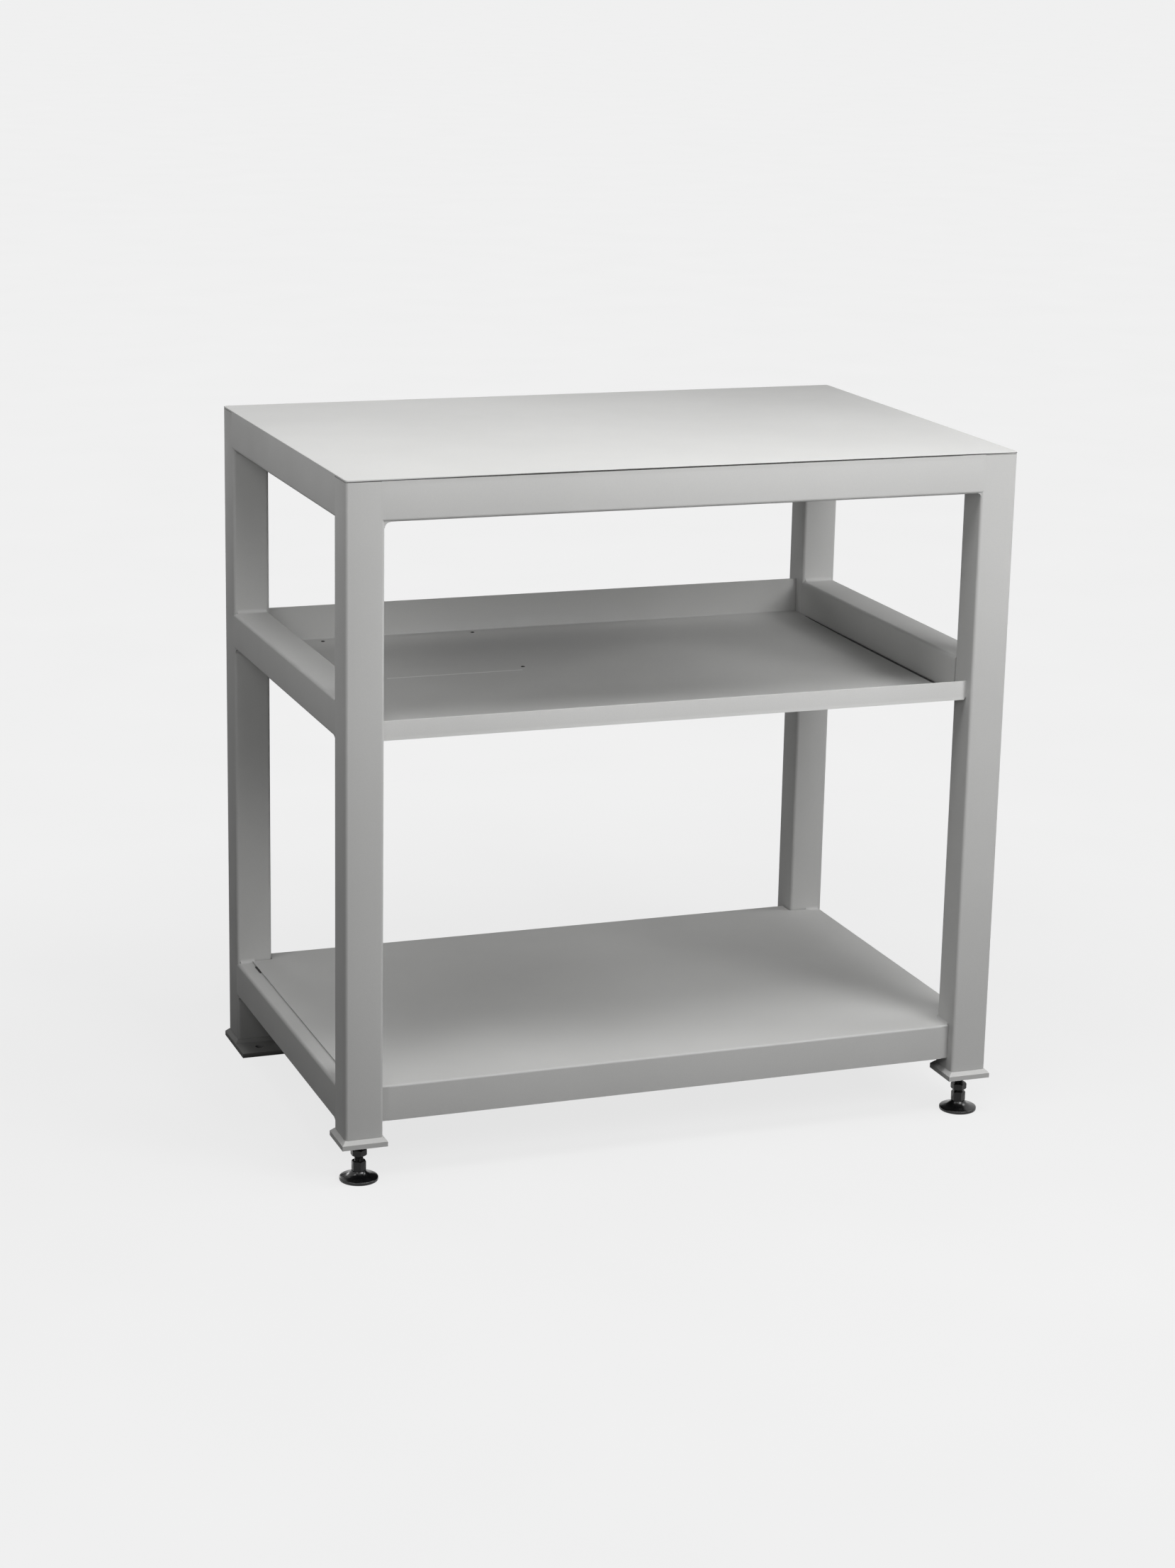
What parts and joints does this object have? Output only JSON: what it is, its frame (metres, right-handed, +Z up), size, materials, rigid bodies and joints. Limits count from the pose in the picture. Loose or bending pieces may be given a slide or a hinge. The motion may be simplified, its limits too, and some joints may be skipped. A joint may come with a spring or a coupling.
{
  "type": "laboratory bench",
  "caption": "Open welded square-tube bench with a sheet worktop, a raised-edge tray shelf and a lower deck, on screwed levelling feet at the front and floor plates at the rear.",
  "frame": {"origin": "on the floor, under the middle of the bench", "axes": "+X along the width to the right as seen from the front, +Y from front to rear, +Z up"},
  "size_m": [0.9244, 0.6196, 0.923],
  "materials": {
    "powder_coat": "light grey satin powder coat",
    "pad_plastic": "glossy black",
    "black_steel": "oiled black oxide"
  },
  "bodies": {
    "bench_frame": {"leg_front_left": "powder_coat", "leg_rear_left": "powder_coat", "leg_front_right": "powder_coat", "leg_rear_right": "powder_coat", "top_rail_front": "powder_coat", "top_rail_rear": "powder_coat", "top_rail_left": "powder_coat", "mid_rail_left": "powder_coat", "lower_rail_left": "powder_coat", "top_rail_right": "powder_coat", "mid_rail_right": "powder_coat", "lower_rail_right": "powder_coat", "lower_rail_front": "powder_coat", "lower_rail_rear": "powder_coat", "worktop": "powder_coat", "worktop_stiffener": "powder_coat", "tray": "powder_coat", "deck": "powder_coat", "deck_stiffener": "powder_coat", "foot_plate_left": "powder_coat", "floor_plate_left": "powder_coat", "levelling_bush_left": "black_steel", "foot_plate_right": "powder_coat", "floor_plate_right": "powder_coat", "levelling_bush_right": "black_steel"},
    "left_pad": {"foot_pad_left": "pad_plastic"},
    "left_stud": {"foot_stud_left": "black_steel"},
    "left_nut": {"jam_nut_left": "black_steel"},
    "right_pad": {"foot_pad_right": "pad_plastic"},
    "right_stud": {"foot_stud_right": "black_steel"},
    "right_nut": {"jam_nut_right": "black_steel"}
  },
  "joints": [
    {"name": "foot_height_left", "type": "slide", "parent": "bench_frame", "child": "left_pad", "axis": [0, 0, 1], "range_m": [-0.014, 0.00962]},
    {"name": "foot_turn_left", "type": "hinge", "parent": "left_pad", "child": "left_stud", "pos_m": [-0.4318, -0.2794, 0.05], "axis": [0, 0, 1], "range_deg": [-2881, 1981]},
    {"name": "jam_nut_turn_left", "type": "hinge", "parent": "left_stud", "child": "left_nut", "pos_m": [-0.4318, -0.2794, 0.04], "axis": [0, 0, 1], "continuous": true},
    {"name": "foot_height_right", "type": "slide", "parent": "bench_frame", "child": "right_pad", "axis": [0, 0, 1], "range_m": [-0.014, 0.00962]},
    {"name": "foot_turn_right", "type": "hinge", "parent": "right_pad", "child": "right_stud", "pos_m": [0.4318, -0.2794, 0.05], "axis": [0, 0, 1], "range_deg": [-2881, 1981]},
    {"name": "jam_nut_turn_right", "type": "hinge", "parent": "right_stud", "child": "right_nut", "pos_m": [0.4318, -0.2794, 0.04], "axis": [0, 0, 1], "continuous": true}
  ],
  "couplings": [
    {"joint": "foot_turn_left", "follows": "foot_height_left", "rad_per_m": 3590.4},
    {"joint": "foot_turn_right", "follows": "foot_height_right", "rad_per_m": 3590.4}
  ]
}
